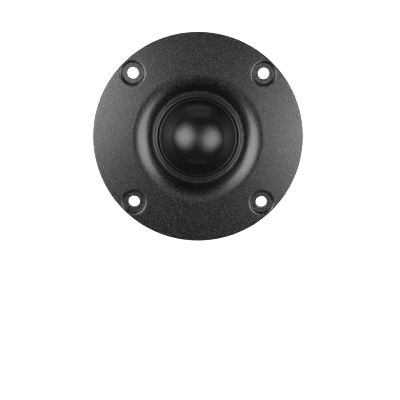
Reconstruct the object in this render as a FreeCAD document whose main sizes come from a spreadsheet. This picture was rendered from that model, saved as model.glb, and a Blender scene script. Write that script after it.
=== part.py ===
import FreeCAD, Part
import math
import os
from types import SimpleNamespace

import Sketcher

# Soft-dome tweeter with a moulded front plate, a foam gasket and a sealed rear chamber.
# Millimetres. The origin is the centre of the screw-hole circle on the back of the flange;
# +Z points out of the dome, -Y is the side that carries the label, +X and -X the terminals.

DIMENSIONS = {
    # Front plate
    "plate_radius": 52.0,
    "flange_thickness": 4.6,
    "edge_rounding": 0.6,
    "back_chamfer": 1.6,
    "shoulder_width": 9.4,
    "throat_depth": 4.6,
    "throat_step": 0.6,
    "throat_ledge": 0.7,
    "spigot_depth": 4.0,
    "spigot_wall": 1.8,
    "ledge_depth": 1.6,
    "ledge_width": 2.1,
    # Fixing holes
    "hole_edge_distance": 6.75,
    "hole_radius": 2.75,
    "counterbore_radius": 5.25,
    "counterbore_depth": 2.0,
    "counterbore_lip": 1.3,
    # Foam gasket
    "gasket_thickness": 4.2,
    "gasket_margin": 2.6,
    "notch_half_width": 3.5,
    "notch_rounding": 2.5,
    # Diaphragm
    "coil_radius": 13.1,
    "former_wall": 0.15,
    "dome_height": 5.2,
    "dome_rise": 0.4,
    "dome_wall": 0.3,
    "winding_wall": 0.35,
    "winding_height": 3.5,
    "former_tail": 0.3,
    "surround_wall": 0.35,
    "surround_drop": 0.35,
    "surround_roll_radius": 40.0,
    "surround_foot_width": 1.25,
    "surround_foot_thickness": 0.3,
    # Rings that hold the diaphragm
    "carrier_overhang": 0.3,
    "carrier_thickness": 0.8,
    "clamp_width": 2.05,
    "clamp_height": 0.85,
    "clamp_rounding": 0.3,
    "lug_length": 1.4,
    "lug_width": 2.4,
    "lug_height": 1.2,
    "lead_out_radius": 0.12,
    "lead_out_sag": 0.9,
    # Motor
    "top_plate_thickness": 2.5,
    "gap_inner_clearance": 0.2,
    "gap_outer_clearance": 0.45,
    "magnet_setback": 0.9,
    "magnet_screw_gap": 1.05,
    "magnet_height": 4.5,
    "yoke_margin": 0.6,
    "yoke_thickness": 3.5,
    "vent_radius": 4.0,
    "copper_wall": 0.2,
    "copper_skirt": 4.0,
    "felt_margin": 1.25,
    "felt_thickness": 1.4,
    "plug_length": 3.0,
    "screw_edge": 0.15,
    "screw_radius": 1.0,
    "screw_head_radius": 1.75,
    "screw_head_height": 1.3,
    "screw_length": 4.5,
    # Rear chamber
    "body_radius": 26.7,
    "body_wall": 2.3,
    "body_length": 21.4,
    "shelf_gap": 1.2,
    "shelf_step": 2.0,
    "recess_depth": 1.2,
    "slot_depth": 1.7,
    "recess_angle": 37.4,
    "recess_sweep": 7.6,
    "slot_angle": 53.7,
    "slot_sweep": 2.4,
    "cup_step": 0.1,
    "cup_depth": 12.5,
    "cup_wall": 2.6,
    "cup_curve_radius": 20.0,
    "cup_taper": 4.0,
    "cup_base_chamfer": 0.5,
    "cup_spigot_height": 2.0,
    "cup_spigot_wall": 1.3,
    "seal_height": 0.8,
    "chamber_foam_gap": 2.1,
    "chamber_foam_height": 13.0,
    # Terminals
    "holder_depth": 4.7,
    "holder_setback": 1.5,
    "holder_wall": 1.0,
    "holder_half_width": 6.5,
    "web_half_width": 3.2,
    "neck_length": 2.4,
    "neck_half_thickness": 1.6,
    "tab_standoff": 3.1,
    "tab_thickness": 0.8,
    "tab_width": 4.8,
    "tab_lean": 1.7,
    "tab_reach": 9.3,
    "tab_hole_radius": 0.65,
    "lead_radius": 0.4,
    "lead_bend": 1.2,
    "lead_tail": 2.45,
    # Label
    "label_width": 31.8,
    "label_height": 12.6,
    "label_thickness": 0.12,
    "label_offset": 0.1,
    # Fits
    "fit_clearance": 0.1,
    "slide_clearance": 0.05,
}

HOLE_COUNT = 4
SCREW_COUNT = 4
DIAGONAL = 45.0
FRONT = -90.0
BACK = 90.0
RIGHT = 0.0
LEFT = 180.0


class Size:
    """A length that knows its value and the spreadsheet expression that it comes from."""

    def __init__(self, value, text):
        self.value = value
        self.text = text

    def __add__(self, other):
        other = as_size(other)
        return Size(self.value + other.value, f"({self.text} + {other.text})")

    def __sub__(self, other):
        other = as_size(other)
        return Size(self.value - other.value, f"({self.text} - {other.text})")

    def __mul__(self, other):
        other = as_size(other)
        return Size(self.value * other.value, f"({self.text} * {other.text})")

    def __truediv__(self, other):
        other = as_size(other)
        return Size(self.value / other.value, f"({self.text} / {other.text})")

    def __neg__(self):
        return Size(-self.value, f"(0 - {self.text})")


def as_size(number):
    if isinstance(number, Size):
        return number
    return Size(float(number), f"({float(number):.9f})")


doc = FreeCAD.newDocument("tweeter")
sheet = doc.addObject("Spreadsheet::Sheet", "sizes")
for row, (alias, value) in enumerate(DIMENSIONS.items(), start=1):
    sheet.set(f"A{row}", alias)
    sheet.set(f"B{row}", str(value))
    sheet.setAlias(f"B{row}", alias)
doc.recompute()

d = SimpleNamespace(**{alias: Size(value, f"sizes.{alias}") for alias, value in DIMENSIONS.items()})
ZERO = Size(0.0, "0")

pieces = {}


# ---- Sketch helpers ---------------------------------------------------------------------

def origin_feature(body, role):
    return next(feature for feature in body.Origin.OriginFeatures if feature.Role == role)


def new_body(name):
    body = doc.addObject("PartDesign::Body", name)
    body.Label = name
    pieces[name] = body
    return body


def attach(sketch, body, plane, angle, radius, lift):
    """Puts a sketch on an origin plane, turned about Z by angle and moved out along it.

    On XZ_Plane and YZ_Plane the sketch stands upright; on XY_Plane lift raises it along Z.
    """
    sketch.AttachmentSupport = [(origin_feature(body, plane), "")]
    sketch.MapMode = "FlatFace"
    cosine = math.cos(math.radians(angle))
    sine = math.sin(math.radians(angle))
    if plane == "XY_Plane":
        spin = FreeCAD.Rotation(FreeCAD.Vector(0, 0, 1), angle)
        along, across = radius * cosine, radius * sine
        moves = {"x": along, "y": across, "z": lift}
    elif plane == "XZ_Plane":
        spin = FreeCAD.Rotation(FreeCAD.Vector(0, 1, 0), angle)
        moves = {"x": radius * cosine, "y": lift, "z": -(radius * sine)}
    else:
        spin = FreeCAD.Rotation()
        moves = {"x": ZERO, "y": lift, "z": radius}
    base = FreeCAD.Vector(moves["x"].value, moves["y"].value, moves["z"].value)
    sketch.AttachmentOffset = FreeCAD.Placement(base, spin)
    for axis, move in moves.items():
        sketch.setExpression(f"AttachmentOffset.Base.{axis}", move.text)


def new_sketch(body, name, plane="XZ_Plane", angle=0.0, radius=ZERO, lift=ZERO):
    sketch = body.newObject("Sketcher::SketchObject", f"{body.Name}_{name}")
    attach(sketch, body, plane, angle, as_size(radius), as_size(lift))
    return sketch


def arc_between(start, end, radius, turn):
    """Arc edge from start to end; turn is +1 counter-clockwise and -1 clockwise."""
    chord = end - start
    half = chord.Length / 2
    height = math.sqrt(max(radius * radius - half * half, 0.0))
    normal = FreeCAD.Vector(-chord.y, chord.x, 0).normalize()
    centre = (start + end) * 0.5 + normal * (height * turn)
    first, last = (start, end) if turn > 0 else (end, start)
    circle = Part.Circle(centre, FreeCAD.Vector(0, 0, 1), radius)
    first_angle = math.atan2(first.y - centre.y, first.x - centre.x)
    last_angle = math.atan2(last.y - centre.y, last.x - centre.x)
    return Part.ArcOfCircle(circle, first_angle, last_angle)


def draw(sketch, points, closed=True):
    """Draws edges through points and ties every point and radius to the spreadsheet.

    A point is (x, y), or (x, y, radius, turn) when the edge that starts there is an arc.
    """
    corners = [(as_size(point[0]), as_size(point[1])) for point in points]
    vectors = [FreeCAD.Vector(x.value, y.value, 0) for x, y in corners]
    edge_count = len(points) if closed else len(points) - 1
    shapes = []
    ends = []
    arcs = []
    for index in range(edge_count):
        start = vectors[index]
        end = vectors[(index + 1) % len(points)]
        if len(points[index]) == 4:
            radius = as_size(points[index][2])
            turn = points[index][3]
            shapes.append(arc_between(start, end, radius.value, turn))
            ends.append((1, 2) if turn > 0 else (2, 1))
            arcs.append((index, radius))
        else:
            shapes.append(Part.LineSegment(start, end))
            ends.append((1, 2))
    sketch.addGeometry(shapes, False)

    constraints = []
    texts = []

    def constrain(constraint, text=None):
        constraints.append(constraint)
        texts.append(text)

    for index in range(edge_count):
        following = (index + 1) % edge_count
        if closed or index + 1 < edge_count:
            constrain(Sketcher.Constraint("Coincident", index, ends[index][1],
                                          following, ends[following][0]))
    for index, (x, y) in enumerate(corners):
        edge, end = (index, ends[index][0]) if index < edge_count else (index - 1, ends[index - 1][1])
        if x is ZERO:
            constrain(Sketcher.Constraint("PointOnObject", edge, end, -2))
        else:
            constrain(Sketcher.Constraint("DistanceX", -1, 1, edge, end, x.value), x.text)
        if y is ZERO:
            constrain(Sketcher.Constraint("PointOnObject", edge, end, -1))
        else:
            constrain(Sketcher.Constraint("DistanceY", -1, 1, edge, end, y.value), y.text)
    for edge, radius in arcs:
        constrain(Sketcher.Constraint("Radius", edge, radius.value), radius.text)
    sketch.addConstraint(constraints)
    for number, text in enumerate(texts):
        if text is not None:
            sketch.setExpression(f"Constraints[{number}]", text)


def draw_circle(sketch, x, y, radius):
    x, y, radius = as_size(x), as_size(y), as_size(radius)
    centre = FreeCAD.Vector(x.value, y.value, 0)
    circle = sketch.addGeometry(Part.Circle(centre, FreeCAD.Vector(0, 0, 1), radius.value), False)
    for kind, place, axis in (("DistanceX", x, -2), ("DistanceY", y, -1)):
        if place is ZERO:
            sketch.addConstraint(Sketcher.Constraint("PointOnObject", circle, 3, axis))
        else:
            number = sketch.addConstraint(Sketcher.Constraint(kind, -1, 1, circle, 3, place.value))
            sketch.setExpression(f"Constraints[{number}]", place.text)
    number = sketch.addConstraint(Sketcher.Constraint("Radius", circle, radius.value))
    sketch.setExpression(f"Constraints[{number}]", radius.text)


def box_points(x_low, x_high, y_low, y_high):
    return [(x_low, y_low), (x_high, y_low), (x_high, y_high), (x_low, y_high)]


def rounding_radius(run, rise):
    """Radius of the arc that starts level and covers run across and rise in height."""
    return (run * run + rise * rise) / (rise * 2)


# ---- Feature helpers --------------------------------------------------------------------

def revolve(body, kind, name, points, angle, radius, sweep):
    sketch = new_sketch(body, f"{name}_outline", angle=angle, radius=radius)
    draw(sketch, points)
    feature = body.newObject(kind, f"{body.Name}_{name}")
    feature.Profile = sketch
    feature.ReferenceAxis = (sketch, ["V_Axis"])
    feature.Midplane = True
    sweep = as_size(sweep)
    feature.Angle = sweep.value
    feature.setExpression("Angle", sweep.text)
    body.Tip = feature
    return feature


def turned(name, points, angle=0.0, radius=ZERO, sweep=360.0):
    """A piece turned about its own upright axis, which stands at radius and angle."""
    body = new_body(name)
    revolve(body, "PartDesign::Revolution", "turned", points, angle, radius, sweep)
    return body


def cut_turned(body, name, points, angle=0.0, radius=ZERO, sweep=360.0):
    return checked_cut(body, revolve, "PartDesign::Groove", name, points, angle, radius, sweep)


def checked_cut(body, make, *arguments):
    """Makes a cutting feature and stops if it removed nothing."""
    doc.recompute()
    before = body.Shape.Volume
    feature = make(body, *arguments)
    doc.recompute()
    if body.Shape.Volume > before - 1e-6:
        raise RuntimeError(f"{feature.Name} cuts nothing")
    return feature


def extrude(body, kind, name, sketch, length=None, downward=False):
    """Pads or pockets a sketch: to both sides by default, or downward from XY_Plane."""
    feature = body.newObject(kind, f"{body.Name}_{name}")
    feature.Profile = sketch
    if length is None:
        feature.Type = "ThroughAll"
    else:
        feature.Length = length.value
        feature.setExpression("Length", length.text)
    if downward:
        feature.Reversed = kind == "PartDesign::Pad"
    else:
        feature.SideType = "Symmetric"
    body.Tip = feature
    return feature


def pad_outline(body, name, points, width):
    """Pads an upright outline symmetrically about the XZ plane."""
    sketch = new_sketch(body, f"{name}_outline")
    draw(sketch, points)
    return extrude(body, "PartDesign::Pad", name, sketch, width)


def pocket(body, name, sketch, length, downward):
    return extrude(body, "PartDesign::Pocket", name, sketch, length, downward)


def cut_outline(body, name, points, width):
    """Cuts an upright outline symmetrically about the XZ plane."""
    sketch = new_sketch(body, f"{name}_outline")
    draw(sketch, points)
    return checked_cut(body, pocket, name, sketch, width, False)


def around(body, feature, count):
    """Repeats a feature evenly about the Z axis."""
    pattern = body.newObject("PartDesign::PolarPattern", f"{feature.Name}_around")
    pattern.Originals = [feature]
    pattern.Axis = (origin_feature(body, "Z_Axis"), [""])
    pattern.Angle = 360.0
    pattern.Occurrences = count
    body.Tip = pattern
    doc.recompute()
    return pattern


def swept_wire(name, points, radius):
    """A round wire along an upright path that starts level, along X."""
    body = new_body(name)
    spine = new_sketch(body, "path")
    draw(spine, points, closed=False)
    section = new_sketch(body, "section", plane="YZ_Plane", radius=points[0][0])
    draw_circle(section, ZERO, points[0][1], radius)
    pipe = body.newObject("PartDesign::AdditivePipe", f"{name}_pipe")
    pipe.Profile = section
    pipe.Spine = spine
    body.Tip = pipe
    return body


# ---- Radii and heights shared by several pieces -----------------------------------------

body_bore = d.body_radius - d.body_wall
spigot_radius = body_bore - d.fit_clearance
bore_radius = spigot_radius - d.spigot_wall
throat_radius = bore_radius + d.throat_ledge
shoulder_radius = throat_radius + d.shoulder_width
ledge_inner_radius = bore_radius - d.ledge_width
ring_outer_radius = bore_radius - d.fit_clearance
clamp_inner_radius = ring_outer_radius - d.clamp_width
surround_outer_radius = clamp_inner_radius - d.fit_clearance
surround_edge_radius = surround_outer_radius - d.surround_foot_width
carrier_inner_radius = surround_edge_radius - d.carrier_overhang
hole_circle_radius = d.plate_radius - d.hole_edge_distance
gasket_outer_radius = d.plate_radius - d.back_chamfer
former_inner_radius = d.coil_radius - d.former_wall
cap_radius = former_inner_radius - d.gap_inner_clearance
pole_radius = cap_radius - d.copper_wall
gap_outer_radius = d.coil_radius + d.winding_wall + d.gap_outer_clearance
screw_circle_radius = spigot_radius - d.screw_head_radius - d.screw_edge
magnet_outer_radius = screw_circle_radius - d.screw_head_radius - d.magnet_screw_gap
cup_base_radius = d.body_radius - d.cup_taper
holder_reach = d.body_radius + d.holder_depth
tab_offset = d.body_radius + d.tab_standoff

front_z = d.flange_thickness
throat_z = front_z - d.throat_depth
ring_floor_z = throat_z - d.throat_step
ledge_z = -d.ledge_depth
spigot_z = -d.spigot_depth
carrier_top_z = ledge_z + d.carrier_thickness
top_plate_z = spigot_z
top_plate_back_z = top_plate_z - d.top_plate_thickness
magnet_back_z = top_plate_back_z - d.magnet_height
yoke_back_z = magnet_back_z - d.yoke_thickness
rim_z = front_z + d.dome_rise
gap_middle_z = top_plate_z - d.top_plate_thickness / 2
winding_top_z = gap_middle_z + d.winding_height / 2
winding_bottom_z = gap_middle_z - d.winding_height / 2
seam_z = -d.body_length
base_z = seam_z - d.cup_depth
lug_bottom_z = ledge_z - d.lug_height
lug_inner_x = carrier_inner_radius + d.fit_clearance
lug_outer_x = lug_inner_x + d.lug_length
lead_z = lug_bottom_z + d.lead_radius + d.slide_clearance
lead_slot_z = lead_z + d.lead_radius + d.fit_clearance
tab_top_z = lead_z - d.lead_bend - d.lead_tail
shelf_z = top_plate_back_z - d.screw_head_height - d.shelf_gap
holder_bottom_z = seam_z + d.holder_setback
neck_z = holder_bottom_z - d.neck_length
cup_spigot_top_z = seam_z + d.cup_spigot_height


# ---- Front plate and gasket -------------------------------------------------------------

def make_faceplate():
    """Moulded plate with a rolled shoulder down to the dome, and four recessed holes."""
    edge = d.edge_rounding
    shoulder = rounding_radius(d.shoulder_width, d.throat_depth)
    body = turned("faceplate", [
        (bore_radius, ledge_z),
        (bore_radius, ring_floor_z),
        (throat_radius, ring_floor_z),
        (throat_radius, throat_z, shoulder, -1),
        (shoulder_radius, front_z),
        (d.plate_radius - edge, front_z, edge, -1),
        (d.plate_radius, front_z - edge),
        (d.plate_radius, d.back_chamfer),
        (gasket_outer_radius, ZERO),
        (spigot_radius, ZERO),
        (spigot_radius, spigot_z),
        (ledge_inner_radius, spigot_z),
        (ledge_inner_radius, ledge_z),
    ])
    floor_z = front_z - d.counterbore_depth
    lip = d.counterbore_lip
    hole = cut_turned(body, "fixing_hole", [
        (ZERO, -d.flange_thickness),
        (d.hole_radius, -d.flange_thickness),
        (d.hole_radius, floor_z),
        (d.counterbore_radius, floor_z),
        (d.counterbore_radius, front_z - lip, lip, -1),
        (d.counterbore_radius + lip, front_z),
        (d.counterbore_radius + lip, front_z * 2),
        (ZERO, front_z * 2),
    ], angle=DIAGONAL, radius=hole_circle_radius)
    around(body, hole, HOLE_COUNT)
    pilot = cut_turned(body, "screw_pilot", box_points(
        ZERO, d.screw_radius + d.slide_clearance,
        spigot_z - d.spigot_depth, top_plate_back_z + d.screw_length + d.fit_clearance,
    ), angle=DIAGONAL, radius=screw_circle_radius)
    around(body, pilot, SCREW_COUNT)
    cut_outline(body, "lead_slot", box_points(
        -d.body_radius, d.body_radius, spigot_z - d.spigot_depth, lead_slot_z,
    ), d.lug_width)


def make_foam_gasket():
    """Soft ring behind the flange, open around each fixing hole."""
    body = turned("foam_gasket", box_points(
        holder_reach + d.gasket_margin, gasket_outer_radius, -d.gasket_thickness, ZERO,
    ))
    half = d.notch_half_width
    rounding = d.notch_rounding
    inner_x = hole_circle_radius - half
    reach = gasket_outer_radius + half
    sketch = new_sketch(body, "notch_outline", plane="XY_Plane", angle=DIAGONAL)
    draw(sketch, [
        (reach, -half),
        (reach, half),
        (inner_x + rounding, half, rounding, 1),
        (inner_x, half - rounding),
        (inner_x, rounding - half, rounding, 1),
        (inner_x + rounding, -half),
    ])
    notch = checked_cut(body, pocket, "notch", sketch, None, True)
    around(body, notch, HOLE_COUNT)


# ---- Diaphragm --------------------------------------------------------------------------

def make_dome():
    """Woven dome, a shallow cap whose rim stands on the voice coil former."""
    wall = d.dome_wall
    inner_radius = d.coil_radius - wall
    inner_height = d.dome_height - wall
    turned("dome", [
        (ZERO, rim_z + inner_height),
        (ZERO, rim_z + d.dome_height, rounding_radius(d.coil_radius, d.dome_height), -1),
        (d.coil_radius, rim_z),
        (inner_radius, rim_z, rounding_radius(inner_radius, inner_height), 1),
    ])


def make_surround():
    """Soft roll from the edge of the dome down to the ring that carries it."""
    inner_radius = d.coil_radius + d.fit_clearance
    inner_z = rim_z - d.surround_drop
    foot_z = carrier_top_z + d.surround_foot_thickness
    wall = d.surround_wall
    turned("surround", [
        (inner_radius, inner_z, d.surround_roll_radius, -1),
        (surround_edge_radius, foot_z),
        (surround_outer_radius, foot_z),
        (surround_outer_radius, carrier_top_z),
        (surround_edge_radius - wall, carrier_top_z, d.surround_roll_radius - wall, 1),
        (inner_radius, inner_z - wall),
    ])


def make_voice_coil():
    """Thin former with a flat wound coil, centred on the magnetic gap."""
    turned("coil_former", box_points(
        former_inner_radius, d.coil_radius, winding_bottom_z - d.former_tail, rim_z,
    ))
    turned("coil_winding", box_points(
        d.coil_radius, d.coil_radius + d.winding_wall, winding_bottom_z, winding_top_z,
    ))


def make_lead_outs():
    """Two fine wires that hang slack from the coil to the solder lugs."""
    wire = d.lead_out_radius
    inner_x = d.coil_radius + d.fit_clearance
    height = lug_bottom_z + d.lug_height / 2
    sag = d.lead_out_sag
    body = new_body("coil_lead_outs")
    body.AllowCompound = True
    spine = new_sketch(body, "path")
    draw(spine, [
        (inner_x, height - sag, rounding_radius(lug_inner_x - inner_x, sag), 1),
        (lug_inner_x, height),
    ], closed=False)
    section = new_sketch(body, "section", plane="YZ_Plane", radius=inner_x)
    draw_circle(section, ZERO, height - sag, wire)
    pipe = body.newObject("PartDesign::AdditivePipe", "coil_lead_outs_pipe")
    pipe.Profile = section
    pipe.Spine = spine
    body.Tip = pipe
    doc.recompute()
    around(body, pipe, 2)


def make_rings():
    """Carrier ring under the surround and the rounded clamp ring that frames it."""
    turned("carrier_ring", box_points(
        carrier_inner_radius, ring_outer_radius, ledge_z, carrier_top_z,
    ))
    top_z = carrier_top_z + d.clamp_height
    edge = d.clamp_rounding
    turned("clamp_ring", [
        (clamp_inner_radius, carrier_top_z),
        (clamp_inner_radius, top_z - edge, edge, -1),
        (clamp_inner_radius + edge, top_z),
        (ring_outer_radius - edge, top_z, edge, -1),
        (ring_outer_radius, top_z - edge),
        (ring_outer_radius, carrier_top_z),
    ])


def make_solder_lugs():
    """Two brass lugs under the carrier ring, where coil wires and leads meet."""
    body = new_body("solder_lugs")
    body.AllowCompound = True
    sketch = new_sketch(body, "outline", plane="XY_Plane", lift=ledge_z)
    half = (d.lug_width - d.fit_clearance) / 2
    draw(sketch, box_points(lug_inner_x, lug_outer_x, -half, half))
    lug = extrude(body, "PartDesign::Pad", "lug", sketch, d.lug_height, downward=True)
    doc.recompute()
    around(body, lug, 2)


# ---- Motor ------------------------------------------------------------------------------

def make_motor():
    """Plate, magnet and vented pole piece, with copper and felt on the pole."""
    body = turned("top_plate", box_points(
        gap_outer_radius, spigot_radius, top_plate_back_z, top_plate_z,
    ))
    hole = cut_turned(body, "screw_hole", box_points(
        ZERO, d.screw_radius + d.fit_clearance, magnet_back_z, ZERO,
    ), angle=DIAGONAL, radius=screw_circle_radius)
    around(body, hole, SCREW_COUNT)

    turned("ring_magnet", box_points(
        gap_outer_radius + d.magnet_setback, magnet_outer_radius, magnet_back_z, top_plate_back_z,
    ))
    yoke_radius = magnet_outer_radius + d.yoke_margin
    turned("pole_yoke", [
        (d.vent_radius, yoke_back_z),
        (yoke_radius, yoke_back_z),
        (yoke_radius, magnet_back_z),
        (pole_radius, magnet_back_z),
        (pole_radius, top_plate_z),
        (d.vent_radius, top_plate_z),
    ])
    cap_z = top_plate_z + d.copper_wall
    turned("copper_cap", [
        (d.vent_radius, top_plate_z),
        (pole_radius, top_plate_z),
        (pole_radius, top_plate_z - d.copper_skirt),
        (cap_radius, top_plate_z - d.copper_skirt),
        (cap_radius, cap_z),
        (d.vent_radius, cap_z),
    ])
    turned("pole_felt", box_points(
        d.vent_radius, cap_radius - d.felt_margin, cap_z, cap_z + d.felt_thickness,
    ))
    turned("vent_plug", box_points(
        ZERO, d.vent_radius - d.slide_clearance, yoke_back_z, yoke_back_z + d.plug_length,
    ))


def make_motor_screws():
    """Pan-head screws that hold the top plate to the front plate."""
    body = new_body("motor_screws")
    body.AllowCompound = True
    screw = revolve(body, "PartDesign::Revolution", "screw", [
        (ZERO, top_plate_back_z - d.screw_head_height),
        (d.screw_head_radius, top_plate_back_z - d.screw_head_height),
        (d.screw_head_radius, top_plate_back_z),
        (d.screw_radius, top_plate_back_z),
        (d.screw_radius, top_plate_back_z + d.screw_length),
        (ZERO, top_plate_back_z + d.screw_length),
    ], DIAGONAL, screw_circle_radius, 360.0)
    doc.recompute()
    around(body, screw, SCREW_COUNT)


# ---- Rear chamber -----------------------------------------------------------------------

def cut_ribbing(body, strip):
    """Leaves raised ribs by cutting two upright grooves each side of the front and the back."""
    for facing, side_name in ((FRONT, "front"), (BACK, "back")):
        for side, hand in ((-1, "left"), (1, "right")):
            cut_turned(body, f"recess_{side_name}_{hand}", strip(d.recess_depth),
                       angle=facing + side * d.recess_angle.value, sweep=d.recess_sweep)
            cut_turned(body, f"slot_{side_name}_{hand}", strip(d.slot_depth),
                       angle=facing + side * d.slot_angle.value, sweep=d.slot_sweep)


def make_motor_housing():
    """Ribbed upper shell around the motor, notched at the top for the two leads."""
    shelf_bore = body_bore - d.shelf_step
    seal_top_z = cup_spigot_top_z + d.seal_height
    body = turned("motor_housing", [
        (body_bore, ZERO),
        (body_bore, shelf_z),
        (shelf_bore, shelf_z),
        (shelf_bore, seal_top_z),
        (body_bore, seal_top_z),
        (body_bore, seam_z),
        (d.body_radius, seam_z),
        (d.body_radius, ZERO),
    ])

    def strip(depth):
        outside = d.body_radius + d.body_wall
        return box_points(d.body_radius - depth, outside, seam_z - d.body_wall, d.body_wall)

    cut_ribbing(body, strip)
    cut_outline(body, "lead_notch", box_points(
        -holder_reach, holder_reach, lead_z - d.lead_radius - d.slide_clearance, d.body_wall,
    ), d.lead_radius * 2 + d.fit_clearance)


def make_rear_cup():
    """Rounded closing cup of the chamber, with a spigot that enters the upper shell."""
    outer = d.body_radius - d.cup_step
    chamfer = d.cup_base_chamfer
    floor_z = base_z + d.cup_wall
    inner_floor_radius = cup_base_radius - d.cup_wall
    spigot_inner = spigot_radius - d.cup_spigot_wall
    curve = d.cup_curve_radius
    body = turned("rear_cup", [
        (ZERO, base_z),
        (cup_base_radius - chamfer, base_z),
        (cup_base_radius, base_z + chamfer, curve, 1),
        (outer, seam_z),
        (spigot_radius, seam_z),
        (spigot_radius, cup_spigot_top_z),
        (spigot_inner, cup_spigot_top_z),
        (spigot_inner, seam_z, curve, -1),
        (inner_floor_radius, floor_z),
        (ZERO, floor_z),
    ])

    def strip(depth):
        outside = outer + d.body_wall
        low_z = base_z - d.body_wall
        return [
            (cup_base_radius - depth, low_z),
            (outside, low_z),
            (outside, seam_z + d.cup_step),
            (outer - depth, seam_z + d.cup_step),
            (outer - depth, seam_z, curve, -1),
            (cup_base_radius - depth, base_z + chamfer),
        ]

    cut_ribbing(body, strip)


def make_chamber_fill():
    """Rubber seal at the joint of the two shells and the foam that damps the chamber."""
    turned("chamber_seal", box_points(
        spigot_radius - d.cup_spigot_wall, body_bore - d.slide_clearance,
        cup_spigot_top_z, cup_spigot_top_z + d.seal_height,
    ))
    floor_z = base_z + d.cup_wall
    foam_radius = cup_base_radius - d.cup_wall - d.chamber_foam_gap
    turned("chamber_foam", box_points(
        ZERO, foam_radius, floor_z, floor_z + d.chamber_foam_height,
    ))


def make_label():
    """Paper label wrapped on the smooth front panel of the upper shell."""
    sweep = d.label_width / d.body_radius * math.degrees(1.0)
    low_z = seam_z + d.label_offset
    turned("label", box_points(
        d.body_radius, d.body_radius + d.label_thickness, low_z, low_z + d.label_height,
    ), angle=FRONT, sweep=sweep)


# ---- Terminals --------------------------------------------------------------------------

def mirrored(points, side):
    """The same upright outline on the +X side (side 1) or the -X side (side -1)."""
    result = []
    for point in points:
        x = as_size(point[0]) * side
        turn = [point[3] * side] if len(point) == 4 else []
        result.append((x, point[1], *point[2:3], *turn))
    return result


def make_terminal_holder(name, side):
    """Open-fronted bracket on the side of the housing that holds one tab."""
    inside_x = d.body_radius - d.body_wall / 2
    toe_z = holder_bottom_z + d.holder_wall
    wall_x = holder_reach - d.holder_wall
    body = new_body(name)
    pad_outline(body, "shield", mirrored([
        (inside_x, holder_bottom_z),
        (holder_reach, holder_bottom_z),
        (holder_reach, ZERO),
        (wall_x, ZERO),
        (wall_x, toe_z),
        (inside_x, toe_z),
    ], side), d.holder_half_width * 2)
    pad_outline(body, "web", mirrored(box_points(
        inside_x, wall_x, holder_bottom_z, ZERO,
    ), side), d.web_half_width * 2)
    pad_outline(body, "neck", mirrored(box_points(
        tab_offset - d.neck_half_thickness, tab_offset + d.neck_half_thickness / 2,
        neck_z, holder_bottom_z,
    ), side), d.web_half_width * 2)
    half = d.tab_thickness / 2 + d.slide_clearance
    cut_outline(body, "tab_slot", mirrored(box_points(
        tab_offset - half, tab_offset + half, neck_z - d.neck_length, d.holder_wall,
    ), side), d.tab_width + d.fit_clearance)
    channel_z = lead_z - d.lead_bend - d.fit_clearance
    cut_outline(body, "lead_channel", mirrored(box_points(
        body_bore, tab_offset, channel_z, d.holder_wall,
    ), side), d.lead_radius * 2 + d.fit_clearance)
    sketch = new_sketch(body, "seat_outline", plane="XY_Plane", lift=d.holder_wall)
    draw_circle(sketch, ZERO, ZERO, d.body_radius)
    checked_cut(body, pocket, "seat", sketch, None, True)


def make_terminal_tab(name, side):
    """Plated blade, straight through its holder and leaning inward below it."""
    half = d.tab_thickness / 2
    tip_z = neck_z - d.tab_reach
    tip_x = tab_offset - d.tab_lean
    body = new_body(name)
    pad_outline(body, "blade", mirrored([
        (tip_x - half, tip_z),
        (tip_x + half, tip_z),
        (tab_offset + half, neck_z),
        (tab_offset + half, tab_top_z),
        (tab_offset - half, tab_top_z),
        (tab_offset - half, neck_z),
    ], side), d.tab_width)
    sketch = new_sketch(body, "hole_outline", plane="YZ_Plane")
    draw_circle(sketch, ZERO, tip_z + d.tab_reach / 3, d.tab_hole_radius)
    checked_cut(body, pocket, "hole", sketch, holder_reach * 2, False)


def make_terminal_lead(name, side):
    """Short wire from a solder lug out through the shell and down to its tab."""
    bend = d.lead_bend
    swept_wire(name, mirrored([
        (lug_outer_x, lead_z),
        (tab_offset - bend, lead_z, bend, -1),
        (tab_offset, lead_z - bend),
        (tab_offset, tab_top_z),
    ], side), d.lead_radius)


def make_terminals():
    for polarity, side in (("positive", 1), ("negative", -1)):
        make_terminal_holder(f"terminal_holder_{polarity}", side)
        make_terminal_tab(f"terminal_tab_{polarity}", side)
        make_terminal_lead(f"terminal_lead_{polarity}", side)


# ---- Build, check and write -------------------------------------------------------------

def check_document():
    doc.recompute()
    failed = [item.Name for item in doc.Objects if {"Invalid", "Error"} & set(item.State)]
    if failed:
        raise RuntimeError(f"failed objects: {failed}")
    for name, body in pieces.items():
        shape = body.Shape
        if shape.isNull() or not shape.isValid() or shape.Volume <= 0:
            raise RuntimeError(f"{name} has no valid solid")


make_faceplate()
make_foam_gasket()
make_dome()
make_surround()
make_voice_coil()
make_lead_outs()
make_rings()
make_solder_lugs()
make_motor()
make_motor_screws()
make_motor_housing()
make_rear_cup()
make_chamber_fill()
make_label()
make_terminals()
check_document()

os.makedirs("parts", exist_ok=True)
for name, body in pieces.items():
    body.Shape.exportStep(f"parts/{name}.step")
    print(f"{name}: {len(body.Shape.Solids)} solid(s), {body.Shape.Volume:.2f} mm3")
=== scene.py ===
import math

import bmesh
import bpy
import numpy as np
from mathutils import Matrix, Vector, noise


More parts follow.
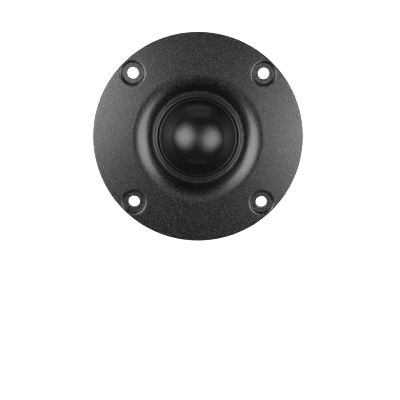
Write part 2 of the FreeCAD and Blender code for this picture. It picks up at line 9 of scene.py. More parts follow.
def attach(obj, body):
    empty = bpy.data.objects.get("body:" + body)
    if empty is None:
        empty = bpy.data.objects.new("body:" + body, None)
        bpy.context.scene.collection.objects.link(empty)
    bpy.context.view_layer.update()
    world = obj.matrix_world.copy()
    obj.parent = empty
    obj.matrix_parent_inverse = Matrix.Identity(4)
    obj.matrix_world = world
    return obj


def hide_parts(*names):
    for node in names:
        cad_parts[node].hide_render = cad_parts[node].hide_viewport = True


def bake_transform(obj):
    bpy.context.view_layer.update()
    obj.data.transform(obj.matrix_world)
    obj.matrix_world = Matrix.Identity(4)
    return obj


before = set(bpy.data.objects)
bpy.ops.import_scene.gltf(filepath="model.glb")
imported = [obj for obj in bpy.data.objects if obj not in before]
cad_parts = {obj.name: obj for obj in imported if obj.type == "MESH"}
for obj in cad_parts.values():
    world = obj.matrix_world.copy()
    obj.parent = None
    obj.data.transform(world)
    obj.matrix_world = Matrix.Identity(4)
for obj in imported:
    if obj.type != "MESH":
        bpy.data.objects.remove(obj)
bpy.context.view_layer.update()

MM = 0.001

# Sizes in millimetres, in the frame of the CAD model.
PLATE_RADIUS = 52.0
FRONT_Z = 4.6
HOLE_CENTRE = 45.25 / math.sqrt(2)
BODY_RADIUS = 26.7
CUP_RADIUS = 26.6
SEAM_Z = -21.4
BASE_Z = -33.9
RIM_Z = 5.0
LEDGE_Z = -1.6
CARRIER_HEIGHT = 0.8
SEAT_Z = LEDGE_Z + CARRIER_HEIGHT
SPIGOT_Z = -4.0
RING_FLOOR_Z = -0.6
COIL_RADIUS = 13.1
SURROUND_ROLL = 40.0
TAB_X = 29.8


# ---- Outlines -----------------------------------------------------------------------------

def fillet(corners, closed=True, steps=6):
    """Rounds the corners (x, y, radius) of an outline; a radius of 0 keeps a corner as it is."""
    points = []
    for index, (x, y, radius) in enumerate(corners):
        end_point = not closed and index in (0, len(corners) - 1)
        if radius == 0 or end_point:
            points.append((x, y))
            continue
        here = Vector((x, y))
        back = (Vector(corners[index - 1][:2]) - here).normalized()
        ahead = (Vector(corners[(index + 1) % len(corners)][:2]) - here).normalized()
        half = back.angle(ahead) / 2
        reach = radius / math.tan(half)
        centre = here + (back + ahead).normalized() * (radius / math.sin(half))
        first = here + back * reach - centre
        last = here + ahead * reach - centre
        span = first.angle(last)
        for step in range(steps + 1):
            part = step / steps
            offset = (first * math.sin((1 - part) * span) + last * math.sin(part * span)) / math.sin(span)
            points.append(tuple(centre + offset))
    return points


def arc(start, end, radius, turn, steps):
    """Points on an arc from start to end; turn is 1 counter-clockwise and -1 clockwise."""
    first, last = Vector(start), Vector(end)
    chord = last - first
    height = math.sqrt(radius * radius - chord.length_squared / 4)
    centre = (first + last) / 2 + Vector((-chord.y, chord.x)).normalized() * height * turn
    angle = math.atan2(first.y - centre.y, first.x - centre.x)
    sweep = 2 * math.asin(chord.length / 2 / radius) * turn
    return [
        (centre.x + radius * math.cos(angle + sweep * step / steps),
         centre.y + radius * math.sin(angle + sweep * step / steps))
        for step in range(steps + 1)
    ]


def cap_radius(run, rise):
    return (run * run + rise * rise) / (2 * rise)


# ---- Meshes -------------------------------------------------------------------------------

def make_object(name, vertices, faces, sharp=32.0):
    """A closed mesh object from points in millimetres, with its normals outward."""
    mesh = bpy.data.meshes.new(name)
    mesh.from_pydata([tuple(c * MM for c in v) for v in vertices], [], faces)
    work = bmesh.new()
    work.from_mesh(mesh)
    bmesh.ops.recalc_face_normals(work, faces=work.faces)
    work.to_mesh(mesh)
    work.free()
    obj = bpy.data.objects.new(name, mesh)
    bpy.context.scene.collection.objects.link(obj)
    smooth(obj, sharp)
    return obj


def smooth(obj, sharp=32.0):
    obj.data.polygons.foreach_set("use_smooth", [True] * len(obj.data.polygons))
    obj.data.set_sharp_from_angle(angle=math.radians(sharp))


def loft(rings, closed):
    """Vertices and faces through rings of points; a ring with one point is a pole."""
    vertices, faces, starts = [], [], []
    for ring in rings:
        starts.append(len(vertices))
        vertices.extend(ring)
    pairs = list(zip(range(len(rings)), range(1, len(rings))))
    if closed:
        pairs.append((len(rings) - 1, 0))
    for low, high in pairs:
        count = max(len(rings[low]), len(rings[high]))
        for index in range(count):
            following = (index + 1) % count
            if len(rings[low]) == 1:
                faces.append((starts[low], starts[high] + following, starts[high] + index))
            elif len(rings[high]) == 1:
                faces.append((starts[low] + index, starts[low] + following, starts[high]))
            else:
                faces.append((starts[low] + index, starts[low] + following,
                              starts[high] + following, starts[high] + index))
    return vertices, faces


def turned_rings(profile, segments, centre=(0.0, 0.0)):
    angles = [2 * math.pi * step / segments for step in range(segments)]
    rings = []
    for radius, z in profile:
        if radius < 1e-6:
            rings.append([(centre[0], centre[1], z)])
        else:
            rings.append([(centre[0] + radius * math.cos(a), centre[1] + radius * math.sin(a), z)
                          for a in angles])
    return rings


def lathe(name, profile, segments=256, sharp=32.0):
    """Turns a profile about Z: a ring if it keeps off the axis, a solid if it ends on it."""
    closed = profile[0][0] > 1e-6
    return make_object(name, *loft(turned_rings(profile, segments), closed), sharp=sharp)


def prism(outline, low, high, axis="Y"):
    """Vertices and faces of an outline pushed along an axis from low to high."""
    count = len(outline)
    vertices = []
    for level in (low, high):
        for a, b in outline:
            vertices.append((a, level, b) if axis == "Y" else (level, a, b) if axis == "X" else (a, b, level))
    faces = [tuple(range(count)), tuple(range(count, 2 * count))]
    for index in range(count):
        following = (index + 1) % count
        faces.append((index, following, count + following, count + index))
    return vertices, faces


def joined(parts):
    vertices, faces = [], []
    for part_vertices, part_faces in parts:
        offset = len(vertices)
        vertices.extend(part_vertices)
        faces.extend(tuple(i + offset for i in face) for face in part_faces)
    return vertices, faces


def bake(obj, sharp=32.0):
    """Replaces the mesh of a piece by what its modifiers make of it."""
    graph = bpy.context.evaluated_depsgraph_get()
    mesh = bpy.data.meshes.new_from_object(obj.evaluated_get(graph))
    obj.modifiers.clear()
    obj.data = mesh
    smooth(obj, sharp)


def boolean(obj, parts, operation="DIFFERENCE", sharp=32.0):
    """Cuts closed shells from a piece, or adds them to it."""
    tool = make_object(f"{obj.name}_tool", *joined(parts))
    change = obj.modifiers.new("boolean", "BOOLEAN")
    change.operation = operation
    change.solver = "EXACT"
    change.object = tool
    bake(obj, sharp)
    bpy.data.objects.remove(tool)


def tidy_normals(obj):
    weighted = obj.modifiers.new("weighted_normals", "WEIGHTED_NORMAL")
    weighted.keep_sharp = True


def bevel(obj, width, segments=3, angle=35.0):
    rounding = obj.modifiers.new("bevel", "BEVEL")
    rounding.width = width * MM
    rounding.segments = segments
    rounding.limit_method = "ANGLE"
    rounding.angle_limit = math.radians(angle)
    bake(obj, 40.0)


def tube(path, radius, sides=12):
    """Vertices and faces of a round wire along points."""
    points = [Vector(p) for p in path]
    rings = []
    for index, point in enumerate(points):
        ahead = points[min(index + 1, len(points) - 1)]
        behind = points[max(index - 1, 0)]
        along = (ahead - behind).normalized()
        side = along.cross(Vector((0, 1, 0))).normalized()
        up = side.cross(along)
        rings.append([tuple(point + (side * math.cos(a) + up * math.sin(a)) * radius)
                      for a in (2 * math.pi * step / sides for step in range(sides))])
    return loft([[tuple(points[0])], *rings, [tuple(points[-1])]], closed=False)


def roughened(obj, voxel, move):
    """Remeshes a soft piece evenly and moves each point by move(point, normal), in millimetres."""
    remesh = obj.modifiers.new("remesh", "REMESH")
    remesh.mode = "VOXEL"
    remesh.voxel_size = voxel * MM
    bake(obj)
    mesh = obj.data
    shifts = []
    for vertex in mesh.vertices:
        point = vertex.co / MM
        shifts.append((point + move(point, vertex.normal)) * MM)
    for vertex, place in zip(mesh.vertices, shifts):
        vertex.co = place
    smooth(obj, 180.0)


# ---- Materials ----------------------------------------------------------------------------

class Finish:
    """A material graph whose coordinates are millimetres of the object itself."""

    def __init__(self, name, metallic=0.0, specular=0.5):
        self.material = bpy.data.materials.new(name)
        self.material.use_nodes = True
        self.tree = self.material.node_tree
        self.shader = self.tree.nodes["Principled BSDF"]
        self.shader.inputs["Metallic"].default_value = metallic
        self.shader.inputs["Specular IOR Level"].default_value = specular
        place = self.tree.nodes.new("ShaderNodeTexCoord").outputs["Object"]
        self.mm = self.vector("SCALE", place, scale=1 / MM)
        self.height = None

    def put(self, socket, value):
        if isinstance(value, bpy.types.NodeSocket):
            self.tree.links.new(value, socket)
        else:
            socket.default_value = value

    def vector(self, operation, first, second=None, scale=None):
        node = self.tree.nodes.new("ShaderNodeVectorMath")
        node.operation = operation
        self.put(node.inputs[0], first)
        if second is not None:
            self.put(node.inputs[1], second)
        if scale is not None:
            node.inputs["Scale"].default_value = scale
        return node.outputs["Value" if operation in ("LENGTH", "DISTANCE") else "Vector"]

    def math(self, operation, first, second=None, clamp=False):
        node = self.tree.nodes.new("ShaderNodeMath")
        node.operation = operation
        node.use_clamp = clamp
        self.put(node.inputs[0], first)
        if second is not None:
            self.put(node.inputs[1], second)
        return node.outputs[0]

    def axes(self):
        node = self.tree.nodes.new("ShaderNodeSeparateXYZ")
        self.put(node.inputs[0], self.mm)
        return node.outputs

    def noise(self, scale, detail=2.0, rough=0.5, stretch=None):
        node = self.tree.nodes.new("ShaderNodeTexNoise")
        place = self.vector("MULTIPLY", self.mm, stretch) if stretch else self.mm
        self.put(node.inputs["Vector"], place)
        node.inputs["Scale"].default_value = scale
        node.inputs["Detail"].default_value = detail
        node.inputs["Roughness"].default_value = rough
        return node.outputs["Fac"]

    def cells(self, scale, feature="F1", random=1.0):
        node = self.tree.nodes.new("ShaderNodeTexVoronoi")
        node.feature = feature
        self.put(node.inputs["Vector"], self.mm)
        node.inputs["Scale"].default_value = scale
        node.inputs["Randomness"].default_value = random
        return node.outputs["Distance"]

    def remap(self, value, low, high, to_low, to_high):
        node = self.tree.nodes.new("ShaderNodeMapRange")
        self.put(node.inputs["Value"], value)
        for name, number in zip(("From Min", "From Max", "To Min", "To Max"), (low, high, to_low, to_high)):
            node.inputs[name].default_value = number
        return node.outputs["Result"]

    def ramp(self, factor, stops):
        node = self.tree.nodes.new("ShaderNodeValToRGB")
        elements = node.color_ramp.elements
        while len(elements) < len(stops):
            elements.new(0.5)
        for element, (place, colour) in zip(elements, stops):
            element.position = place
            element.color = (*colour, 1.0)
        self.put(node.inputs["Fac"], factor)
        return node.outputs["Color"]

    def mix(self, factor, first, second, blend="MIX"):
        node = self.tree.nodes.new("ShaderNodeMix")
        node.data_type = "RGBA"
        node.blend_type = blend
        self.put(node.inputs["Factor"], factor)
        for socket, value in ((node.inputs[6], first), (node.inputs[7], second)):
            self.put(socket, (*value, 1.0) if isinstance(value, tuple) else value)
        return node.outputs[2]

    def colour(self, value):
        self.put(self.shader.inputs["Base Color"], value)

    def roughness(self, value):
        self.put(self.shader.inputs["Roughness"], value)

    def relief(self, height, depth):
        """Adds a bump whose full height range is depth millimetres."""
        node = self.tree.nodes.new("ShaderNodeBump")
        node.inputs["Distance"].default_value = depth * MM
        self.put(node.inputs["Height"], height)
        if self.height is not None:
            self.tree.links.new(self.height, node.inputs["Normal"])
        self.height = node.outputs["Normal"]
        self.put(self.shader.inputs["Normal"], self.height)


def grey(level, tint=(1.0, 1.0, 1.0)):
    return tuple(level * t for t in tint)


WARM = (1.0, 0.985, 0.96)


def textured_plastic(name="textured_plastic", low=0.0005, high=0.050, rough=(0.22, 0.33), depth=0.045):
    """Spark-eroded black moulding: sandy grain, small shiny specks, slightly polished edges and painted shade
    that darkens the base colour towards the throat.
    """
    f = Finish(name, specular=0.6)
    grain = f.noise(1.35, 1.0, 0.5)
    fine = f.noise(2.4, 1.0, 0.5)
    broad = f.noise(0.05, 2.0)
    sand = f.math("ADD", f.math("MULTIPLY", grain, 0.55), f.math("MULTIPLY", fine, 0.45))
    body = f.ramp(sand, [(0.46, grey(low, WARM)), (0.54, grey(high * 0.16, WARM)), (0.66, grey(high, WARM))])
    body = f.mix(f.remap(broad, 0.35, 0.65, 0.0, 0.1), body, grey(high * 0.1, WARM))
    x, y, _ = f.axes()
    radius = f.math("SQRT", f.math("ADD", f.math("MULTIPLY", x, x), f.math("MULTIPLY", y, y)))
    # Painted shade: the base colour turns darker from 33 mm in to 25 mm, down the shoulder into the throat.
    throat_painted_shade = f.remap(radius, 25.0, 33.0, 0.12, 1.0)
    body = f.mix(throat_painted_shade, grey(low, WARM), body)
    rim = f.remap(radius, 51.2, 51.9, 0.0, 1.0)
    worn = f.math("MULTIPLY", rim, f.remap(f.noise(0.6, 3.0), 0.4, 0.7, 0.1, 0.5))
    f.colour(f.mix(worn, body, grey(high * 0.4, WARM)))
    f.roughness(f.math("SUBTRACT", f.remap(fine, 0.3, 0.7, *rough), f.math("MULTIPLY", worn, 0.08)))
    f.relief(grain, depth)
    f.relief(fine, depth * 0.6)
    return f.material


def moulded_plastic(name, low, high, rough, depth=0.012, scale=1.6):
    """Plain black moulding with faint flow marks, fine grain and scuffed roughness."""
    f = Finish(name)
    flow = f.noise(0.12, 3.0, 0.5, stretch=(1.0, 1.0, 0.25))
    fine = f.noise(scale * 4, 3.0, 0.6)
    scuff = f.remap(f.noise(scale * 0.5, 4.0, 0.7), 0.45, 0.75, 0.0, 1.0)
    body = f.ramp(flow, [(0.3, grey(low, WARM)), (0.7, grey(high, WARM))])
    f.colour(f.mix(f.math("MULTIPLY", scuff, 0.3), body, grey(high * 1.6, WARM)))
    f.roughness(f.math("ADD", f.remap(fine, 0.3, 0.7, *rough), f.math("MULTIPLY", scuff, 0.06)))
    f.relief(fine, depth)
    f.relief(flow, depth * 2)
    return f.material


def woven(name, low, high, rough, pitch, depth, sheen, specular=0.5):
    """Fine cloth woven on the diagonal and sealed with a thin coating."""
    f = Finish(name, specular=specular)
    x, y, _ = f.axes()
    turns = 2 * math.pi / (pitch * math.sqrt(2))
    warp = f.math("SINE", f.math("MULTIPLY", f.math("ADD", x, y), turns))
    weft = f.math("SINE", f.math("MULTIPLY", f.math("SUBTRACT", x, y), turns))
    threads = f.remap(f.math("ADD", warp, weft), -2.0, 2.0, 0.0, 1.0)
    crossing = f.remap(f.math("MULTIPLY", warp, weft), -1.0, 1.0, 0.0, 1.0)
    blot = f.noise(0.45, 3.0, 0.55)
    fuzz = f.noise(5.0, 2.0, 0.6)
    weave = f.math("ADD", f.math("MULTIPLY", threads, 0.6), f.math("MULTIPLY", crossing, 0.4))
    body = f.ramp(weave, [(0.15, grey(low, WARM)), (0.85, grey(high, WARM))])
    f.colour(f.mix(f.remap(blot, 0.35, 0.7, 0.0, 0.4), body, grey(high * 1.2, WARM)))
    base = f.remap(weave, 0.0, 1.0, rough[1], rough[0])
    uneven = f.remap(fuzz, 0.3, 0.7, -0.04, 0.04)
    f.roughness(f.math("ADD", base, uneven))
    f.relief(weave, depth)
    f.relief(fuzz, depth * 0.4)
    f.shader.inputs["Sheen Weight"].default_value = sheen
    f.shader.inputs["Sheen Roughness"].default_value = 0.4
    return f.material


def foam(name, dark, light, cell, depth):
    """Open-cell foam: pits darker than the struts between them, as painted shade in the pits."""
    f = Finish(name, specular=0.25)
    pit = f.cells(1 / cell)
    strut = f.cells(1.7 / cell)
    # Painted shade: the colour is darkest at the middle of each cell, where the bump sinks the pits.
    tone = f.math("MULTIPLY", f.remap(pit, 0.1, 0.75, 0.0, 1.0), f.remap(strut, 0.1, 0.8, 0.35, 1.0))
    body = f.ramp(tone, [(0.0, dark), (1.0, light)])
    f.colour(f.mix(f.remap(f.noise(0.25, 3.0), 0.35, 0.7, 0.0, 0.5), body, grey(0.6, light)))
    f.roughness(f.remap(tone, 0.0, 1.0, 1.0, 0.85))
    f.relief(pit, depth)
    f.relief(strut, depth * 0.5)
    return f.material


def metal(name, colour, tarnish, rough, brushed=(1.0, 1.0, 8.0), depth=0.006):
    """Plated metal with fine tool marks, dull patches and slight tarnish."""
    f = Finish(name, metallic=1.0)
    marks = f.noise(2.2, 3.0, 0.6, stretch=brushed)
    patch = f.noise(0.35, 4.0, 0.6)
    f.colour(f.mix(f.remap(patch, 0.42, 0.75, 0.0, 0.8), colour, tarnish))
    f.roughness(f.math("ADD", f.remap(marks, 0.3, 0.7, *rough), f.remap(patch, 0.4, 0.8, 0.0, 0.12)))
    f.relief(marks, depth)
    return f.material


def winding(name):
    """Enamelled copper wire in close turns."""
    f = Finish(name, metallic=1.0)
    _, _, z = f.axes()
    turn = f.math("ABSOLUTE", f.math("SINE", f.math("MULTIPLY", z, math.pi / 0.2)))
    f.colour(f.mix(f.remap(f.noise(0.6, 2.0), 0.3, 0.7, 0.0, 1.0), (0.50, 0.19, 0.08), (0.36, 0.12, 0.05)))
    f.roughness(f.remap(turn, 0.0, 1.0, 0.5, 0.24))
    f.relief(turn, 0.06)
    return f.material


def felt(name, dark, light):
    f = Finish(name, specular=0.2)
    fibre = f.noise(2.8, 5.0, 0.75, stretch=(1.0, 2.2, 1.6))
    f.colour(f.ramp(fibre, [(0.3, dark), (0.75, light)]))
    f.roughness(f.remap(fibre, 0.3, 0.7, 1.0, 0.88))
    f.relief(fibre, 0.25)
    f.shader.inputs["Sheen Weight"].default_value = 0.3
    return f.material


def paper(name, colour, dirt, rough):
    """Thermal label paper, very slightly mottled and handled."""
    f = Finish(name)
    pulp = f.noise(1.4, 4.0, 0.65)
    smear = f.noise(0.18, 3.0, 0.6)
    body = f.mix(f.remap(pulp, 0.35, 0.7, 0.0, 0.35), colour, dirt)
    f.colour(f.mix(f.remap(smear, 0.45, 0.75, 0.0, 0.35), body, dirt))
    f.roughness(f.remap(pulp, 0.3, 0.7, *rough))
    f.relief(pulp, 0.01)
    return f.material


PLASTIC = textured_plastic()
HOUSING = moulded_plastic("housing_plastic", 0.008, 0.014, (0.40, 0.52))
HOLDER = moulded_plastic("holder_plastic", 0.009, 0.015, (0.30, 0.42), depth=0.02)
RING = moulded_plastic("ring_plastic", 0.010, 0.018, (0.22, 0.30), depth=0.015, scale=2.4)
DOME_CLOTH = woven("coated_fabric", 0.001, 0.005, (0.12, 0.36), 0.74, 0.06, 0.0)
ROLL_CLOTH = woven("surround_fabric", 0.001, 0.004, (0.26, 0.40), 0.74, 0.020, 0.0)
# Painted shade: a darker, dull cloth for the surround's foot and the clamp ring's groove, so that these
# recesses read dark.
RECESS_SHADE_CLOTH = woven("recess_painted_shade", 0.001, 0.003, (0.75, 0.90), 0.74, 0.010, 0.0, specular=0.08)
GASKET = foam("gasket_foam", (0.010, 0.009, 0.008), (0.085, 0.076, 0.066), 0.85, 0.30)
DAMPING = foam("damping_foam", (0.02, 0.02, 0.02), (0.12, 0.12, 0.125), 1.4, 0.40)
GOLD = metal("gold_plate", (0.95, 0.70, 0.32), (0.78, 0.52, 0.20), (0.16, 0.30))
STEEL = metal("plated_steel", (0.62, 0.63, 0.64), (0.42, 0.43, 0.46), (0.26, 0.40))
MAGNET = metal("plated_magnet", (0.55, 0.54, 0.52), (0.36, 0.36, 0.36), (0.22, 0.36))
SCREW = metal("screw_steel", (0.50, 0.50, 0.49), (0.28, 0.28, 0.28), (0.24, 0.42))
COPPER = metal("copper", (0.86, 0.42, 0.26), (0.50, 0.24, 0.15), (0.22, 0.40))
BRASS = metal("brass", (0.80, 0.60, 0.28), (0.52, 0.38, 0.18), (0.26, 0.42))
ALUMINIUM = metal("former_aluminium", (0.78, 0.79, 0.80), (0.60, 0.61, 0.62), (0.28, 0.40))
WIRE = winding("coil_wire")
FELT = felt("felt", (0.02, 0.02, 0.022), (0.09, 0.09, 0.095))
RUBBER = moulded_plastic("seal_rubber", 0.012, 0.018, (0.62, 0.75), depth=0.03)
LEAD = moulded_plastic("lead_insulation", 0.010, 0.014, (0.36, 0.46))
PAPER = paper("label_paper", (0.90, 0.90, 0.91), (0.78, 0.79, 0.81), (0.42, 0.58))
# Dark glossy finish of the band on top of the chamber, above the label.
DARK_BAND = moulded_plastic("dark_band_finish", 0.003, 0.007, (0.20, 0.34), depth=0.05)
INK = paper("label_ink", (0.014, 0.014, 0.016), (0.035, 0.035, 0.038), (0.34, 0.50))

NODE_FINISH = {
    "coil_former": ALUMINIUM, "coil_winding": WIRE, "carrier_ring": RING, "solder_lugs": BRASS,
    "top_plate": STEEL, "ring_magnet": MAGNET, "pole_yoke": STEEL, "copper_cap": COPPER,
    "motor_screws": SCREW, "terminal_lead_positive": LEAD, "terminal_lead_negative": LEAD,
}
for node, material in NODE_FINISH.items():
    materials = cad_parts[node].data.materials
    materials.clear()
    materials.append(material)


def stand_for(obj, node, material):
    """Gives a piece its material and puts it in the place of a CAD node."""
    if material is not None:
        obj.data.materials.clear()
        obj.data.materials.append(material)
    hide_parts(node)
    return obj


# ---- Front plate --------------------------------------------------------------------------

def make_plate():
    throat_radius, throat_z = 23.2, 0.0
    shoulder_radius = 32.6
    corner = 0.25
    shoulder_round = cap_radius(shoulder_radius - throat_radius, FRONT_Z - throat_z)
    shoulder = arc((throat_radius, throat_z), (shoulder_radius, FRONT_Z), shoulder_round, -1, 32)
    profile = fillet([
        (20.4, LEDGE_Z, 0), (22.5, LEDGE_Z, 0), (22.5, RING_FLOOR_Z, 0), (throat_radius, RING_FLOOR_Z, 0),
    ], closed=False) + fillet([
        (throat_radius, RING_FLOOR_Z, 0), (throat_radius, throat_z, corner), (*shoulder[2], 0),
    ], closed=False)[1:] + shoulder[3:] + fillet([
        (40.0, FRONT_Z, 0), (PLATE_RADIUS, FRONT_Z, 0.7), (PLATE_RADIUS, 1.6, 0.25), (50.4, 0.0, 0.1),
        (24.3, 0.0, 0), (24.3, SPIGOT_Z, 0), (20.4, SPIGOT_Z, 0),
    ], closed=False, steps=7)
    plate = lathe("front_plate", profile, segments=360)

    floor_z = FRONT_Z - 2.0
    hole_radius, recess_radius, lip_radius, cutter_top = 2.75, 5.25, 1.3, 9.0
    hole = [(0.0, -5.0), (hole_radius, -5.0)]
    hole += fillet([
        (hole_radius, -5.0, 0), (hole_radius, floor_z, 0.2),
        (recess_radius, floor_z, 0.3), (recess_radius, FRONT_Z - lip_radius, 0),
    ], closed=False)[1:-1]
    rolled_to = (recess_radius + lip_radius, FRONT_Z)
    hole += arc((recess_radius, FRONT_Z - lip_radius), rolled_to, lip_radius, -1, 10)
    hole += [(6.75, cutter_top), (0.0, cutter_top)]
    pilot = [(0.0, -7.0), (1.05, -7.0), (1.05, LEDGE_Z - 0.3), (0.0, LEDGE_Z - 0.3)]
    cutters = []
    for side_x in (-1, 1):
        for side_y in (-1, 1):
            spot = (side_x * HOLE_CENTRE, side_y * HOLE_CENTRE)
            cutters.append(loft(turned_rings(hole, 72, spot), closed=False))
            screw = 22.4 / math.sqrt(2)
            cutters.append(loft(turned_rings(pilot, 24, (side_x * screw, side_y * screw)), closed=False))
    slot_outline = [(-26.7, -7.0), (26.7, -7.0), (26.7, LEDGE_Z - 0.25), (-26.7, LEDGE_Z - 0.25)]
    cutters.append(prism(slot_outline, -1.2, 1.2))
    boolean(plate, cutters, sharp=35.0)
    tidy_normals(plate)
    return stand_for(plate, "faceplate", PLASTIC)


# ---- Foam gasket --------------------------------------------------------------------------

def foam_shift(cell, depth, ragged):
    def move(point, normal):
        distances, _ = noise.voronoi(point / cell)
        pit = max(0.0, 1.0 - distances[0] / 0.62)
        lump = noise.noise(point * 0.55)
        return -normal * (depth * pit + ragged * (0.5 + 0.5 * lump))
    return move


def make_gasket():
    profile = fillet([(34.0, -4.2, 0.3), (50.4, -4.2, 0.35), (50.4, -0.02, 0.1), (34.0, -0.02, 0.1)])
    gasket = lathe("gasket", profile, segments=240)
    notch = fillet([(56.0, -3.5, 0), (56.0, 3.5, 0), (41.75, 3.5, 2.5), (41.75, -3.5, 2.5)])
    cutters = []
    for quarter in range(4):
        angle = math.radians(45 + 90 * quarter)
        turn = Matrix.Rotation(angle, 2)
        cutters.append(prism([tuple(turn @ Vector(p)) for p in notch], -6.0, 2.0, axis="Z"))
    boolean(gasket, cutters)
    roughened(gasket, 0.42, foam_shift(0.95, 0.34, 0.22))
    return stand_for(gasket, "foam_gasket", GASKET)


# ---- Diaphragm and its rings --------------------------------------------------------------

def make_dome():
    height, wall = 5.2, 0.3
    outer = arc((0.0, RIM_Z + height), (COIL_RADIUS, RIM_Z), cap_radius(COIL_RADIUS, height), -1, 72)
    inner_run, inner_rise = COIL_RADIUS - wall, height - wall
    inner = arc((inner_run, RIM_Z), (0.0, RIM_Z + inner_rise), cap_radius(inner_run, inner_rise), 1, 24)
    dome = lathe("dome_cloth", [(0.0, outer[0][1])] + outer[1:] + inner[:-1] + [(0.0, inner[-1][1])],
                 segments=240, sharp=60.0)
    return stand_for(dome, "dome", DOME_CLOTH)


def dome_height(radius):
    """Height of the outer face of the dome at a radius."""
    ball = cap_radius(COIL_RADIUS, 5.2)
    return RIM_Z + math.sqrt(ball ** 2 - radius ** 2) - math.sqrt(ball ** 2 - COIL_RADIUS ** 2)


def make_surround():
    """Cloth skirt that laps the edge of the dome and ends in a flat foot under the clamp ring."""
    foot_z = SEAT_Z + 0.3
    roll = arc((13.11, 4.985), (18.72, foot_z + 0.35), SURROUND_ROLL, -1, 40)
    bead = arc((18.78, foot_z + 0.16), (19.26, foot_z + 0.16), 0.26, -1, 12)
    under = arc((18.65, SEAT_Z), (13.2, 4.3), SURROUND_ROLL - 0.35, 1, 32)
    lap = [(radius, dome_height(radius) + 0.012) for radius in (12.9, 12.97, 13.04)]
    foot = [(19.3, foot_z), (20.2, foot_z), (20.25, foot_z - 0.05), (20.25, SEAT_Z)]
    edge = [(13.12, 4.36), (13.112, 4.96), (13.09, dome_height(13.09) + 0.004)]
    profile = lap + roll + bead + foot + under + edge
    surround = lathe("surround_roll", profile, segments=300, sharp=60.0)
    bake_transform(surround)
    stand_for(surround, "surround", ROLL_CLOTH)
    # Painted shade: faces beyond 19.28 mm, the foot under the clamp ring, get the dark, dull recess cloth.
    surround.data.materials.append(RECESS_SHADE_CLOTH)
    for face in surround.data.polygons:
        if math.hypot(*face.center[:2]) > 19.28 * MM:
            face.material_index = 1
    return surround


def make_clamp_ring():
    top = [(20.35, 0.50), (20.40, 0.68), (20.52, 0.81), (20.66, 0.85), (20.80, 0.82), (20.94, 0.72),
           (21.08, 0.58), (21.24, 0.48), (21.42, 0.45), (21.60, 0.50), (21.76, 0.62), (21.92, 0.76),
           (22.06, 0.84), (22.18, 0.85), (22.29, 0.81), (22.37, 0.70), (22.4, 0.55)]
    beads = [(r, SEAT_Z + rise) for r, rise in top]
    ring = lathe("clamp_ring_beads", beads + [(22.4, SEAT_Z), (20.35, SEAT_Z)], segments=300, sharp=50.0)
    stand_for(ring, "clamp_ring", RING)
    # Painted shade: faces of the groove between the two beads get the dark, dull recess cloth.
    ring.data.materials.append(RECESS_SHADE_CLOTH)
    for face in ring.data.polygons:
        if 21.16 < math.hypot(*face.center[:2]) / MM < 21.66 and face.center[2] > SEAT_Z * MM + 1e-5:
            face.material_index = 1
    return ring


def make_lead_outs():
    """Slack tinsel wires, each bent between the moving coil and its fixed lug."""
    height, sag = LEDGE_Z - 0.6, 0.9
    pieces = []
    for side, name in ((1, "positive"), (-1, "negative")):
        run = arc((13.2, height - sag), (18.8, height), cap_radius(5.6, sag), 1, 14)
        strands = []
        for strand in range(3):
            path = []
            for index, (r, z) in enumerate(run):
                twist = 2 * math.pi * (strand / 3 + index / 5)
                path.append((side * r, 0.05 * math.cos(twist), z + 0.05 * math.sin(twist)))
            strands.append(tube(path, 0.06, sides=8))
        wire = make_object(f"lead_out_{name}", *joined(strands), sharp=60.0)
        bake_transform(wire)
        pieces.append(stand_for(wire, "coil_lead_outs", COPPER))
    return pieces


# ---- Rear chamber -------------------------------------------------------------------------

GROOVES = [
    (facing + side * angle, half, depth)
    for facing in (-90.0, 90.0)
    for side in (-1, 1)
    for angle, half, depth in ((37.4, 3.8, 1.2), (53.7, 1.2, 1.7))
]


def groove_depth(angle, softness):
    """How deep the ribbing cuts at an angle in degrees, with rounded rib edges."""
    deepest = 0.0
    for centre, half, depth in GROOVES:
        away = abs((angle - centre + 180.0) % 360.0 - 180.0)
        inside = (half - away) * math.radians(BODY_RADIUS) / softness + 0.5
        inside = min(max(inside, 0.0), 1.0)
        deepest = max(deepest, depth * inside * inside * (3 - 2 * inside))
    return deepest


def rib_angles():
    """Angles round the body, close together at the rib edges."""
    marks = set(np.round(np.arange(0.0, 360.0, 2.0), 3))
    for centre, half, _ in GROOVES:
        for edge in (centre - half, centre + half):
            marks.update(np.round((edge + np.linspace(-1.1, 1.1, 15)) % 360.0, 3))
    return sorted(marks)


RIB_ANGLES = rib_angles()
RIB_DEPTHS = [groove_depth(angle, 0.62) for angle in RIB_ANGLES]


def ribbed_ring(radius, z, strength):
    ring = []
    for angle, depth in zip(RIB_ANGLES, RIB_DEPTHS):
        reach = radius - depth * strength
        ring.append((reach * math.cos(math.radians(angle)), reach * math.sin(math.radians(angle)), z))
    return ring


def make_housing():
    outline = [(BODY_RADIUS - 0.05, 0.0), (BODY_RADIUS, -0.1)]
    outline += [(BODY_RADIUS, z) for z in np.linspace(-1.0, SEAM_Z + 0.35, 14)]
    outline += [(BODY_RADIUS - 0.03, SEAM_Z + 0.16), (BODY_RADIUS - 0.12, SEAM_Z + 0.05),
                (BODY_RADIUS - 0.25, SEAM_Z)]
    inside = [(24.4, SEAM_Z), (24.4, -18.6), (22.4, -18.6), (22.4, -9.0), (24.4, -9.0), (24.4, 0.0)]
    rings = [ribbed_ring(r, z, 1.0) for r, z in outline] + [ribbed_ring(r, z, 0.0) for r, z in inside]
    housing = make_object("motor_housing_shell", *loft(rings, closed=True), sharp=50.0)
    notch = [(-31.4, -2.8), (31.4, -2.8), (31.4, 2.3), (-31.4, 2.3)]
    boolean(housing, [prism(notch, -0.45, 0.45)], sharp=50.0)
    tidy_normals(housing)
    return stand_for(housing, "motor_housing", HOUSING)


